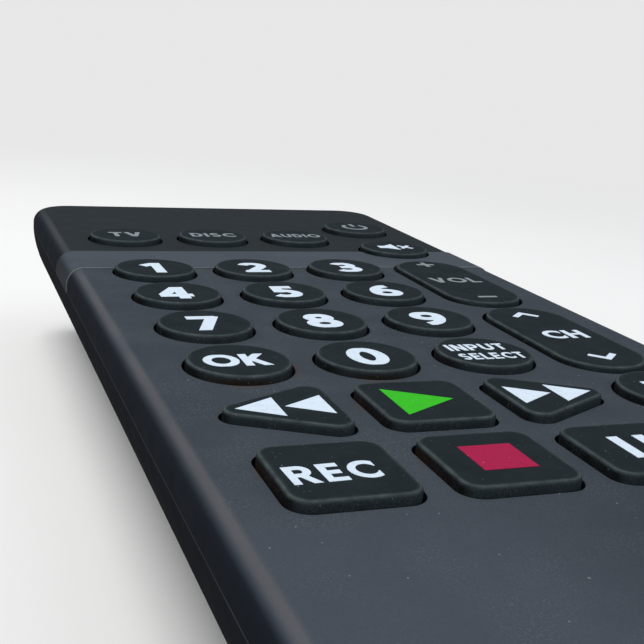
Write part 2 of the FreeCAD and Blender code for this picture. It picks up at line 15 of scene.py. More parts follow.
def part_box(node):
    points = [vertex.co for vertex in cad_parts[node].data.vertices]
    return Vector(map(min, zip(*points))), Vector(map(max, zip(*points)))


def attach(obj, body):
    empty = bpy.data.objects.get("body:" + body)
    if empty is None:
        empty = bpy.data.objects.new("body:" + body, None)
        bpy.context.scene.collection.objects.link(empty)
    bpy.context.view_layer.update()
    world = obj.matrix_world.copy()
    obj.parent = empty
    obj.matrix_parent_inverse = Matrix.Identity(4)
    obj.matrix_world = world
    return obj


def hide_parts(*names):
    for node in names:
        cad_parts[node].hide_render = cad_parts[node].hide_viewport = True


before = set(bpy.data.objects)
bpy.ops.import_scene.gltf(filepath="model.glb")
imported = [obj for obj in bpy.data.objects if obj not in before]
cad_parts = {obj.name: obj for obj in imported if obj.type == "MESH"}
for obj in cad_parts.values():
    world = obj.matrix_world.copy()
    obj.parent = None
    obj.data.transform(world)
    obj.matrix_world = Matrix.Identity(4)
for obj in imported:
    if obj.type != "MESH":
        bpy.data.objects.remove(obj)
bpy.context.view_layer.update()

# Lower shell: the boat-shaped half of the case, moulded in near-black ABS with a fine spark-eroded grain.
# It holds the battery bay, the board's ribs and the door's grooves, and is screwed and snapped to the deck.

MM = 0.001


def screen_colour(red, green, blue):
    """A colour as a screen shows it, 0 to 255, turned into linear light by the sRGB curve."""
    c = np.array([red, green, blue]) / 255
    linear = np.where(c <= 0.04045, c / 12.92, ((c + 0.055) / 1.055) ** 2.4)
    return (*linear.tolist(), 1.0)


def wire_up(tree, kind, inputs=None, **settings):
    """Adds one shader node: settings are its options, inputs its sockets by name or place.

    Each input is a value or a link.
    """
    made = tree.nodes.new(kind)
    for key, value in settings.items():
        setattr(made, key, value)
    for key, value in (inputs or {}).items():
        if isinstance(value, bpy.types.NodeSocket):
            tree.links.new(value, made.inputs[key])
        else:
            made.inputs[key].default_value = value
    return made


def new_finish(name):
    """An empty material with its surface shader, and the Object coordinates that its patterns read."""
    material = bpy.data.materials.new(name)
    material.use_nodes = True
    tree = material.node_tree
    shader = tree.nodes["Principled BSDF"]
    place = tree.nodes.new("ShaderNodeTexCoord").outputs["Object"]
    return material, tree, shader, place


def noise(tree, place, size_mm, detail=2.0, roughness=0.5):
    """Cloud noise whose lumps are about size_mm across."""
    sockets = {"Vector": place, "Scale": 1 / (size_mm * MM), "Detail": detail, "Roughness": roughness}
    return wire_up(tree, "ShaderNodeTexNoise", sockets).outputs["Fac"]


def remap(tree, value, low, high, to_low=0.0, to_high=1.0, smooth=False):
    """A value between low and high moved to between to_low and to_high, and held there outside."""
    kind = "SMOOTHSTEP" if smooth else "LINEAR"
    sockets = {0: value, 1: low, 2: high, 3: to_low, 4: to_high}
    return wire_up(tree, "ShaderNodeMapRange", sockets, interpolation_type=kind).outputs[0]


def maths(tree, operation, first, second=0.0):
    """One sum on values or links."""
    return wire_up(tree, "ShaderNodeMath", {0: first, 1: second}, operation=operation).outputs[0]


def product(tree, *values):
    """All the values multiplied together."""
    result = values[0]
    for value in values[1:]:
        result = maths(tree, "MULTIPLY", result, value)
    return result


def blend_colours(tree, share, first, second):
    """The first colour turning into the second as share goes from 0 to 1.

    Three numbers are a screen colour, and four are linear light.
    """
    colours = [screen_colour(*c) if isinstance(c, tuple) and len(c) == 3 else c for c in (first, second)]
    sockets = {0: share, 6: colours[0], 7: colours[1]}
    return wire_up(tree, "ShaderNodeMix", sockets, data_type="RGBA").outputs[2]


def specks(tree, place, spacing_mm, size_mm, share):
    """Round specks: one may lie in each cell of a Voronoi pattern, in the given share of the cells."""
    cells = wire_up(tree, "ShaderNodeTexVoronoi", {"Vector": place, "Scale": 1 / (spacing_mm * MM)})
    near = remap(tree, cells.outputs["Distance"], 0.5 * size_mm / spacing_mm, 0.3 * size_mm / spacing_mm)
    pick = wire_up(tree, "ShaderNodeSeparateColor", {0: cells.outputs["Color"]}).outputs[0]
    return product(tree, near, maths(tree, "LESS_THAN", pick, share))


def split(tree, vector):
    """The X, Y and Z of a place or direction."""
    return wire_up(tree, "ShaderNodeSeparateXYZ", {0: vector}).outputs


def facing(tree):
    """How far the surface looks along X, Y and Z: Z is 0 on a wall and 1 on a flat that looks up."""
    return split(tree, tree.nodes.new("ShaderNodeNewGeometry").outputs["Normal"])


def grain(tree, shader, place, size_mm, depth_mm, strength=0.6):
    """A fine moulded grain as bump on the shader's normal."""
    height = noise(tree, place, size_mm, 3.0, 0.6)
    sockets = {"Strength": strength, "Distance": depth_mm * MM, "Height": height}
    tree.links.new(wire_up(tree, "ShaderNodeBump", sockets).outputs[0], shader.inputs["Normal"])


def moulded_plastic(name, colour, lighter, roughness, gloss, grain_mm, depth_mm, dust):
    """Matt moulded plastic: cloudy tone from coarse noise and moulded grain as bump.

    Lint and, in patches, a thin film of dust lie on what looks up.
    """
    material, tree, shader, place = new_finish(name)
    upward = facing(tree)["Z"]
    tone = remap(tree, noise(tree, place, 11, 3.0), 0.25, 0.75)
    base = blend_colours(tree, tone, colour, lighter)
    speckle = remap(tree, noise(tree, place, 0.16, 2.0), 0.35, 0.65, 0.92, 1.08)
    base = wire_up(tree, "ShaderNodeHueSaturation", {"Value": speckle, "Color": base}).outputs[0]
    lint = product(tree, specks(tree, place, 1.1, 0.17, dust), remap(tree, upward, 0.25, 0.95), 0.5)
    powder = remap(tree, noise(tree, place, 0.13, 2.0, 0.7), 0.55, 0.68)
    patches = remap(tree, noise(tree, place, 5, 3.0), 0.42, 0.62)
    film = product(tree, powder, patches, remap(tree, upward, 0.6, 0.98), 0.7 * dust)
    base = blend_colours(tree, maths(tree, "MAXIMUM", lint, film), base, (160, 165, 170))
    tree.links.new(base, shader.inputs["Base Color"])
    rough = remap(tree, noise(tree, place, 3, 3.0), 0.3, 0.7, roughness - 0.05, roughness + 0.05)
    tree.links.new(rough, shader.inputs["Roughness"])
    shader.inputs["Specular IOR Level"].default_value = gloss
    grain(tree, shader, place, grain_mm, depth_mm)
    return material, tree, shader, place, base


def moulding(node, name, edge_mm):
    """A merged copy of a solid's triangles with its hard edges rounded.

    Doubles are merged, flat triangles are dissolved into whole flats, and a bevel of edge_mm runs
    along the edges that turn by more than 30 degrees. Normals are weighted by face area, so flats
    stay flat.
    """
    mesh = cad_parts[node].data.copy()
    mesh.materials.clear()
    work = bmesh.new()
    work.from_mesh(mesh)
    bmesh.ops.remove_doubles(work, verts=work.verts, dist=2e-6)
    bmesh.ops.dissolve_limit(work, angle_limit=math.radians(0.2), verts=work.verts, edges=work.edges)
    for face in work.faces:
        face.smooth = True
    work.to_mesh(mesh)
    work.free()
    mesh.set_sharp_from_angle(angle=math.radians(35))
    piece = bpy.data.objects.new(name, mesh)
    bpy.context.scene.collection.objects.link(piece)
    rounding = piece.modifiers.new("rounded_edges", "BEVEL")
    rounding.width = edge_mm * MM
    rounding.segments = 2
    rounding.limit_method = "ANGLE"
    rounding.angle_limit = math.radians(30)
    flats = piece.modifiers.new("flat_faces", "WEIGHTED_NORMAL")
    flats.keep_sharp = True
    return piece


shell_black, tree, shader, place, base = moulded_plastic(
    "shell_black", (25, 29, 36), (30, 34, 41), 0.75, 0.02, 0.22, 0.02, 0.05)
# The divider band reaches down to the parting line, and a highlight is painted on the shell's lip just below
# it
parting_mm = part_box("divider_band")[0].z / MM
below_lip = (parting_mm - 0.16) * MM
lip = (parting_mm - 0.08) * MM
painted_lip_highlight = remap(tree, split(tree, place)["Z"], below_lip, lip, 0.0, 0.7)
painted_lip_highlight = product(tree, painted_lip_highlight, remap(tree, noise(tree, place, 8, 3.0), 0.3, 0.7, 0.3, 1.0))
tree.links.new(blend_colours(tree, painted_lip_highlight, base, (88, 94, 106)), shader.inputs["Base Color"])
lower_shell = moulding("lower_case", "lower_shell", 0.12)
lower_shell.data.materials.append(shell_black)
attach(lower_shell, "case")
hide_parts("lower_case")

# Deck: the upper half of the case, a blue-grey ABS moulding with a softly rounded shoulder and a close hole
# round every key. The head beyond the band is a darker tone. A highlight is painted along the shoulder, with
# painted light on the near left and painted shade on the walls and near right. Brown dirt sits round the
# oldest keys.

key_field_half_mm = 24.9
key_field_end_mm = 70
dirt_from_mm = 5.0
dirt_to_mm = 6.2


def centre_and_top(node):
    """The middle of a node, seen from above, and its top, in millimetres."""
    low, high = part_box(node)
    return (low.x + high.x) / 2 / MM, (low.y + high.y) / 2 / MM, high.z / MM


deck_grey, tree, shader, place, base = moulded_plastic(
    "deck_grey", (53, 59, 66), (58, 65, 72), 0.72, 0.035, 0.17, 0.018, 0.22)
spot = split(tree, place)
_, band_middle_mm, _ = centre_and_top("divider_band")
beyond_band = maths(tree, "GREATER_THAN", spot["Y"], band_middle_mm * MM)
# Painted light lightens the grip's near left, and painted shade darkens its near right
painted_grip_light = remap(tree, spot["Y"], -16 * MM, -46 * MM, 0.0, 0.4, smooth=True)
painted_grip_light = product(tree, painted_grip_light, remap(tree, spot["X"], -16 * MM, 6 * MM, 1.0, 0.1, smooth=True))
base = blend_colours(tree, painted_grip_light, base, (71, 78, 88))
painted_grip_shade = remap(tree, spot["X"], -14 * MM, 8 * MM, smooth=True)
painted_grip_shade = product(tree, painted_grip_shade, remap(tree, spot["Y"], -22 * MM, -42 * MM, 0.0, 0.55, smooth=True))
base = blend_colours(tree, painted_grip_shade, base, (38, 46, 53))
base = blend_colours(tree, beyond_band, base, (38, 43, 47))
# A highlight is painted where the shoulder's curve begins, outside the key field, weaker at the ends and on
# the head
upward = facing(tree)["Z"]
across, lengthwise = (maths(tree, "ABSOLUTE", spot[axis]) for axis in "XY")
beside_keys = maths(tree, "GREATER_THAN", across, key_field_half_mm * MM)
past_keys = maths(tree, "GREATER_THAN", lengthwise, key_field_end_mm * MM)
outside = maths(tree, "MAXIMUM", beside_keys, past_keys)
patchy = remap(tree, noise(tree, place, 9, 3.0), 0.3, 0.75, 0.65, 1.0)
steep_end = remap(tree, upward, 0.72, 0.93, smooth=True)
painted_highlight = product(tree, steep_end, remap(tree, upward, 1.0, 0.965, 0.0, 1.0), outside, patchy)
painted_highlight = product(tree, painted_highlight, remap(tree, lengthwise, 66 * MM, 80 * MM, 1.0, 0.45, smooth=True))
painted_highlight = product(tree, painted_highlight, remap(tree, beyond_band, 0.0, 1.0, 1.0, 0.5))
highlight_colour = blend_colours(tree, remap(tree, noise(tree, place, 17, 2.0), 0.4, 0.6), (76, 80, 86), (81, 81, 85))
base = blend_colours(tree, painted_highlight, base, highlight_colour)
# Painted shade: walls, the shoulder's lower curve and the walls of the key holes turn dark as they turn from
# up
base = blend_colours(tree, remap(tree, upward, 0.9, 0.55, smooth=True), base, (24, 29, 36))
crumbs = product(tree, specks(tree, place, 2.3, 0.3, 0.07), remap(tree, upward, 0.25, 0.95), 0.35)
base = blend_colours(tree, crumbs, base, (150, 152, 150))
flatten = {0: place, 1: (1.0, 1.0, 0.0)}
level = wire_up(tree, "ShaderNodeVectorMath", flatten, operation="MULTIPLY").outputs[0]
smudge_noise = remap(tree, noise(tree, place, 0.9, 4.0, 0.7), 0.32, 0.62)


def distance_to(tree, vector, x_mm, y_mm):
    """How far a level vector is from a point of the deck."""
    sockets = {0: vector, 1: (x_mm * MM, y_mm * MM, 0.0)}
    return wire_up(tree, "ShaderNodeVectorMath", sockets, operation="DISTANCE").outputs["Value"]


# Brown smudges that hug a hole: the key, the direction from its middle in degrees, how far out the smudge
# lies and how wide it spreads. Round each key the dirt fades from the hole's edge outwards
smudges = (
    ("key_ok", -98, 5.3, 3.2), ("key_ok", -15, 5.3, 2.4), ("key_0", -98, 5.3, 2.8),
    ("key_stop", 155, 5.6, 2.2), ("key_record", 160, 5.6, 1.8), ("key_play", 165, 5.6, 2.0),
)
for node, toward, reach_mm, spread_mm in smudges:
    key_x, key_y, _ = centre_and_top(node)
    smudge_x = key_x + reach_mm * math.cos(math.radians(toward))
    smudge_y = key_y + reach_mm * math.sin(math.radians(toward))
    round_middle = remap(tree, distance_to(tree, level, smudge_x, smudge_y), spread_mm * MM, 0.0)
    round_key = remap(tree, distance_to(tree, level, key_x, key_y), dirt_to_mm * MM, dirt_from_mm * MM)
    smudge = product(tree, round_middle, round_key, smudge_noise, 0.8)
    base = blend_colours(tree, smudge, base, (74, 56, 44))
tree.links.new(base, shader.inputs["Base Color"])

deck = moulding("upper_case", "deck", 0.12)
deck.data.materials.append(deck_grey)
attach(deck, "case")
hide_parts("upper_case")

# Divider band: a satin ABS strip in a lighter grey that saddles the deck and both rounded shoulders. It is
# moulded by itself, pierced by the same key holes as the deck, and glued in a groove.

band_satin, tree, shader, place, base = moulded_plastic(
    "band_satin", (60, 67, 75), (65, 72, 81), 0.6, 0.07, 0.3, 0.006, 0.05)
way = facing(tree)
# Painted shade darkens the band's walls
base = blend_colours(tree, remap(tree, way["Z"], 0.86, 0.5, smooth=True), base, (36, 41, 48))
# A highlight is painted on the band's near lip, which faces the near end
base = blend_colours(tree, remap(tree, way["Y"], -0.35, -0.75), base, (128, 134, 140))
tree.links.new(base, shader.inputs["Base Color"])
band = moulding("divider_band", "band", 0.06)
band.data.materials.append(band_satin)
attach(band, "case")
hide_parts("divider_band")

# Battery door: the part of the shell's floor that slides off over the tail, moulded in the shell's black
# ABS. Two rails run in the shell's grooves and hold it on, and six moulded thumb grooves give a grip.

door = moulding("battery_door", "door_cover", 0.1)
door.data.materials.append(shell_black)
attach(door, "door")
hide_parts("battery_door")

# Keys: caps moulded in dark silicone rubber, with a hidden clipped flange that keeps them in and a square
# plunger that presses on the board. A highlight is painted along their small rim radius, painted shade on
# their left walls and painted light on their near walls. Their walls hold dust and, on the oldest keys, a
# brown film.

key_half_mm = 4.85
flat_insets_mm = (0.9, 0.5)
rim_radius_mm = 0.3
ink_thickness_mm = 0.03
wall_depths_mm = (0.55, 0.8, 1.3)
flange_low_mm = 17.6
flange_high_mm = 18.4
flange_half_mm = 5.55
flange_clip_mm = 2.28
plunger_half_mm = 2.5
plunger_low_mm = 16.4
# The flange starts a hair above the cap's foot and the plunger ends inside the cap, so that no faces coincide
flange_lift_mm = 0.01
plunger_root_mm = 0.1
corner_signs = ((-1, -1), (1, -1), (1, 1), (-1, 1))


def rounded_corners(corners, steps=10):
    """Samples along an outline with rounded corners, anticlockwise.

    Each sample is the middle of its corner's arc, the arc's radius and a unit direction, so the
    middle plus (radius - inset) times the direction is the same outline moved inwards by an inset.
    """
    xy = np.array([c[:2] for c in corners], float)
    radius = np.array([c[2] for c in corners], float)
    edge = np.roll(xy, -1, 0) - xy
    edge /= np.linalg.norm(edge, axis=1, keepdims=True)
    after = np.stack([edge[:, 1], -edge[:, 0]], 1)
    before = np.roll(after, 1, 0)
    cosine = (before * after).sum(1)
    middle = xy - radius[:, None] * (before + after) / (1 + cosine)[:, None]
    turn = np.arccos(np.clip(cosine, -1, 1))
    angle = np.arctan2(before[:, 1], before[:, 0])[:, None] + turn[:, None] * np.linspace(0, 1, steps)
    direction = np.stack([np.cos(angle), np.sin(angle)], 2).reshape(-1, 2)
    return np.repeat(middle, steps, 0), np.repeat(radius, steps), direction


def circle(x, y, radius, steps=64):
    """A round outline: samples of one arc at even angles, all round one middle."""
    angle = np.linspace(0, 2 * np.pi, steps, endpoint=False)
    direction = np.stack([np.cos(angle), np.sin(angle)], 1)
    return np.tile([x, y], (steps, 1)), np.full(steps, float(radius)), direction


def ring(outline, inset, z):
    """The closed loop of an outline at one height: each middle plus (radius - inset) times its direction."""
    middle, radius, direction = outline
    flat = middle + (radius - inset)[:, None] * direction
    return np.column_stack([flat, np.full(len(flat), z)])


def stacked(rings):
    """Points and faces of rings one below another.

    A quad joins each side of a ring to the same side of the next, and a flat closes each end.
    """
    count = len(rings[0])
    here = np.arange(count)
    following = np.roll(here, -1)
    faces = []
    for level in range(len(rings) - 1):
        upper = level * count
        lower = upper + count
        faces += np.stack([upper + here, lower + here, lower + following, upper + following], 1).tolist()
    faces.append(here.tolist())
    faces.append(((len(rings) - 1) * count + here[::-1]).tolist())
    return np.concatenate(rings), faces


def slab(x_low, x_high, y_low, y_high, z_low, z_high, clip=0.001):
    """A closed block whose upright edges are clipped at 45 degrees, by a hair where nothing is said."""
    flat = np.array([
        (x_low, y_low + clip), (x_low + clip, y_low), (x_high - clip, y_low), (x_high, y_low + clip),
        (x_high, y_high - clip), (x_high - clip, y_high), (x_low + clip, y_high), (x_low, y_high - clip),
    ])
    return stacked([np.column_stack([flat, np.full(8, z)]) for z in (z_high, z_low)])


def piece_from(name, parts, marks=None):
    """One object from closed parts in millimetres.

    Marks are named values on its first points, which its material reads.
    """
    points = np.concatenate([p for p, f in parts])
    faces = []
    start = 0
    for p, f in parts:
        faces += [[start + i for i in face] for face in f]
        start += len(p)
    mesh = bpy.data.meshes.new(name)
    mesh.from_pydata((points * MM).tolist(), [], faces)
    for key, values in (marks or {}).items():
        values = np.concatenate([values, np.zeros(len(points) - len(values))])
        mesh.attributes.new(key, "FLOAT", "POINT").data.foreach_set("value", values.astype(np.float32))
    mesh.polygons.foreach_set("use_smooth", np.ones(len(mesh.polygons), bool))
    mesh.set_sharp_from_angle(angle=math.radians(40))
    piece = bpy.data.objects.new(name, mesh)
    bpy.context.scene.collection.objects.link(piece)
    return piece


# Where the brown film is: the key, the direction from its middle in degrees, how far round it spreads from
# there and how strong it is
films = {
    "key_ok": (262, 40, 1.0), "key_0": (262, 38, 0.8), "key_stop": (155, 40, 0.6),
    "key_record": (165, 40, 0.6), "key_play": (165, 40, 0.5),
}


def key_cap(node, outline, extra_parts):
    """A rubber cap: from its flat top over a quarter-round rim, down the wall to the flange's underside.

    The marks on its points say where the rim, the wall and the brown film are. Round the key the
    film fades as a bell curve of the angle from its own direction.
    """
    x, y, top = centre_and_top(node)
    top -= ink_thickness_mm
    turn = np.radians([0, 22.5, 45, 67.5, 90])
    insets = [*flat_insets_mm, *(rim_radius_mm * (1 - np.sin(turn))), 0.0, 0.0, 0.0, 0.0]
    heights = [top, top, *(top - rim_radius_mm * (1 - np.cos(turn)))]
    heights += [*(top - depth for depth in wall_depths_mm), flange_low_mm]
    # How much of the rim, the wall and the wall's foot each ring is, from the top down
    rim = np.array([0, 0, 0.3, 1, 0.7, 0.25, 0, 0, 0, 0, 0])
    wall = np.array([0, 0, 0, 0, 0.25, 0.7, 1, 1, 1, 1, 1])
    foot = np.array([0, 0, 0, 0, 0, 0, 0.25, 0.9, 1, 1, 1])
    rings = [ring(outline, i, z) for i, z in zip(insets, heights)]
    toward, spread, strength = films.get(node, (0, 1, 0))
    flat = rings[-1][:, :2] - (x, y)
    off = np.degrees(np.arctan2(flat[:, 1], flat[:, 0])) - toward
    off = np.abs((off + 180) % 360 - 180)
    film = strength * np.exp(-(off / spread) ** 2)
    count = len(rings[0])
    marks = {"rim": np.repeat(rim, count), "wall": np.repeat(wall, count)}
    marks["film"] = np.outer(foot, film).ravel()
    cap = piece_from(node + "_cap", [stacked(rings), *extra_parts], marks)
    cap.data.materials.append(key_rubber)
    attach(cap, node + "_body")
    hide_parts(node)


key_rubber, tree, shader, place = new_finish("key_rubber")
tone = remap(tree, noise(tree, place, 3.5, 4.0, 0.6), 0.3, 0.7)
base = blend_colours(tree, tone, (24, 31, 35), (30, 38, 42))
rim, wall, film = (
    wire_up(tree, "ShaderNodeAttribute", attribute_name=mark).outputs["Fac"]
    for mark in ("rim", "wall", "film"))
way = facing(tree)
# Painted shade: walls that face left turn near-black
painted_left_shade = remap(tree, way["X"], -0.3, -0.75, 0.45, 0.95, smooth=True)
base = blend_colours(tree, product(tree, wall, painted_left_shade), base, (14, 16, 18))
# Painted light: walls that face the near end are lighter
painted_front_light = remap(tree, way["Y"], -0.3, -0.9, 0.0, 0.85, smooth=True)
base = blend_colours(tree, product(tree, wall, painted_front_light), base, (51, 61, 66))
# A highlight is painted along the rim, in patches
painted_highlight = product(tree, rim, remap(tree, noise(tree, place, 1.2, 3.0), 0.3, 0.7, 0.3, 0.75))
base = blend_colours(tree, painted_highlight, base, (80, 90, 92))
# Dust on the walls, kept thin on the left walls so that their painted shade stays dark
powder = remap(tree, noise(tree, place, 0.12, 2.0, 0.7), 0.42, 0.66)
patches = remap(tree, noise(tree, place, 1.6, 2.0), 0.35, 0.65, 0.35, 1.0)
powder = product(tree, powder, patches, wall, remap(tree, way["X"], -0.35, -0.85, 0.42, 0.16))
base = blend_colours(tree, powder, base, (100, 108, 112))
ragged = remap(tree, noise(tree, place, 0.5, 3.0, 0.7), 0.3, 0.5, 0.5, 1.0)
base = blend_colours(tree, product(tree, film, ragged, 0.85), base, (50, 32, 18))
fine_lint = product(tree, specks(tree, place, 0.45, 0.08, 0.4), 0.55)
lint = maths(tree, "MAXIMUM", product(tree, specks(tree, place, 0.9, 0.13, 0.14), 0.7), fine_lint)
lint = product(tree, lint, remap(tree, way["Z"], 0.25, 0.95))
wall_lint = product(tree, specks(tree, place, 0.42, 0.1, 0.35), wall, patches, 0.9)
base = blend_colours(tree, maths(tree, "MAXIMUM", lint, wall_lint), base, (150, 158, 160))
tree.links.new(base, shader.inputs["Base Color"])
rough = remap(tree, noise(tree, place, 1.5, 3.0), 0.3, 0.7, 0.6, 0.72)
tree.links.new(rough, shader.inputs["Roughness"])
shader.inputs["Specular IOR Level"].default_value = 0.04
grain(tree, shader, place, 0.13, 0.012, 0.5)


def flange_and_plunger(node):
    """The hidden clipped flange of a single key and the square plunger under it."""
    x, y, _ = centre_and_top(node)
    f, p = flange_half_mm, plunger_half_mm
    return [
        slab(x - f, x + f, y - f, y + f, flange_low_mm + flange_lift_mm, flange_high_mm, flange_clip_mm),
        slab(x - p, x + p, y - p, y + p, plunger_low_mm, flange_low_mm + plunger_root_mm),
    ]


def corners_of(node, half_x, half_y, radius):
    """The four corners of a key, anticlockwise, with their radius."""
    x, y, _ = centre_and_top(node)
    return [(x + i * half_x, y + j * half_y, radius) for i, j in corner_signs]


round_keys = ["key_%d" % n for n in range(10)]
round_keys += ["key_ok", "key_text", "key_menu", "key_back", "key_mute", "key_power"]
round_keys += ["key_source_1", "key_source_2", "key_source_3"]
for node in round_keys:
    x, y, _ = centre_and_top(node)
    key_cap(node, circle(x, y, key_half_mm), flange_and_plunger(node))

square_corner_mm = 1.6
for node in ("key_play", "key_record", "key_stop", "key_pause"):
    corners = corners_of(node, key_half_mm, key_half_mm, square_corner_mm)
    key_cap(node, rounded_corners(corners), flange_and_plunger(node))

arrow_corner_mm = 1.5
arrow_tip_mm = 1.35
for node, points_to in (("key_rewind", -1), ("key_forward", 1)):
    x, y, _ = centre_and_top(node)
    tip = side = key_half_mm
    # Each corner lies so far out that its arc ends at the key's half width
    for _ in range(10):
        slope = math.atan2(side, tip + key_half_mm)
        tip = key_half_mm + arrow_tip_mm * (1 / math.sin(slope) - 1)
        side = key_half_mm + arrow_corner_mm * (1 / math.tan(math.pi / 4 - slope / 2) - 1)
    corners = [
        (x - points_to * key_half_mm, y - points_to * side, arrow_corner_mm),
        (x + points_to * tip, y, arrow_tip_mm),
        (x - points_to * key_half_mm, y + points_to * side, arrow_corner_mm),
    ]
    key_cap(node, rounded_corners(corners, 16), flange_and_plunger(node))

# Rocking keys: the two long keys of the right column, of the same rubber. They tilt on two side pins, which
# sit in cheeks under the deck, and have a plunger under each end.

rocker_half_mm = 11.5
# The two arcs of a round end keep a short straight between them
rocker_corner_mm = key_half_mm - 0.01
ear_half_mm = 2.5
pin_reach_mm = 6.65
pin_radius_mm = 0.45
pin_height_mm = 18.0
rocker_plunger_mm = 6.25
for node in ("rocker_volume", "rocker_channel"):
    x, y, _ = centre_and_top(node)
    low_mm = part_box(node)[0].z / MM
    f, e, p = flange_half_mm, ear_half_mm, plunger_half_mm
    extras = [slab(x - f, x + f, y - e, y + e, flange_low_mm + flange_lift_mm, flange_high_mm)]
    for end in (y - rocker_plunger_mm, y + rocker_plunger_mm):
        extras.append(slab(x - p, x + p, end - p, end + p, low_mm, flange_low_mm + plunger_root_mm))
    # The pins are one rod along X: a round outline drawn between its two ends and then laid on its side
    pin_outline = circle(0, 0, pin_radius_mm, 24)
    pin, pin_faces = stacked([ring(pin_outline, 0, z) for z in (pin_reach_mm, -pin_reach_mm)])
    extras.append((pin[:, [2, 0, 1]] + (x, y, pin_height_mm), pin_faces))
    corners = corners_of(node, key_half_mm, rocker_half_mm, rocker_corner_mm)
    key_cap(node, rounded_corners(corners, 18), extras)

# Printed marks: screen-printed ink on the key tops, in a plain bold letter drawn with one stroke width. They
# are digits, common function words and the usual transport signs.

stroke_share = 0.2
ink_depth_mm = 2 * ink_thickness_mm


def arc(x, y, width, height, start, end, steps=20):
    """Points along part of an ellipse, between two angles in degrees.

    Each is the middle plus width times the angle's cosine across and height times its sine up.
    """
    angle = np.radians(np.linspace(start, end, steps))
    return np.stack([x + width * np.cos(angle), y + height * np.sin(angle)], 1)


def ribbon(points, width, closed=False):
    """The quads of a ribbon along a path.

    Each side lies half a width off, along the mean of the two neighbouring normals divided by the
    cosine of half the bend, so bends keep their width.
    """
    points = np.asarray(points, float)
    run = np.roll(points, -1, 0) - points
    if not closed:
        run[-1] = run[-2]
    run /= np.linalg.norm(run, axis=1, keepdims=True)
    back = np.roll(run, 1, 0)
    if not closed:
        back[0] = run[0]
    side_now = np.stack([-run[:, 1], run[:, 0]], 1)
    mean = side_now + np.stack([-back[:, 1], back[:, 0]], 1)
    mean /= np.maximum((mean * side_now).sum(1), 0.5)[:, None]
    left, right = points + mean * width / 2, points - mean * width / 2
    quads = np.stack([right, np.roll(right, -1, 0), np.roll(left, -1, 0), left], 1)
    return list(quads if closed else quads[:-1])


def printed(node, name, ink, polygons):
    """One printed mark on a key's top, moving with that key.

    Overlapping flat polygons, in millimetres from the key's middle, are cut into triangles by a
    constrained Delaunay triangulation. Triangles inside any polygon are kept, so the mark is their
    union, and it gets an underside, which lies in the rubber, and a wall along every edge that only
    one triangle has.
    """
    x, y, top = centre_and_top(node)
    corners = [tuple(p) for polygon in polygons for p in polygon]
    ends = np.cumsum([len(polygon) for polygon in polygons])
    loops = [list(range(end - len(polygon), end)) for end, polygon in zip(ends, polygons)]
    flat, _, triangles, _, _, owners = delaunay_2d_cdt(corners, [], loops, 1, 1e-5)
    flat = np.array([tuple(v) for v in flat]) + (x, y)
    kept = np.array([t for t, owner in zip(triangles, owners) if owner])
    a, b, c = (flat[kept[:, i]] for i in range(3))
    turned = (b[:, 0] - a[:, 0]) * (c[:, 1] - a[:, 1]) < (b[:, 1] - a[:, 1]) * (c[:, 0] - a[:, 0])
    kept[turned] = kept[turned][:, ::-1]
    edges = np.concatenate([kept[:, [0, 1]], kept[:, [1, 2]], kept[:, [2, 0]]])
    pairs = {tuple(e) for e in edges.tolist()}
    border = np.array([e for e in edges.tolist() if (e[1], e[0]) not in pairs])
    count = len(flat)
    walls = np.stack([border[:, 0], border[:, 0] + count, border[:, 1] + count, border[:, 1]], 1)
    faces = kept.tolist() + (kept[:, ::-1] + count).tolist() + walls.tolist()
    points = np.concatenate([np.column_stack([flat, np.full(count, z)]) for z in (top, top - ink_depth_mm)])
    mark = piece_from(name, [(points, faces)])
    mark.data.materials.append(ink)
    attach(mark, node + "_body")


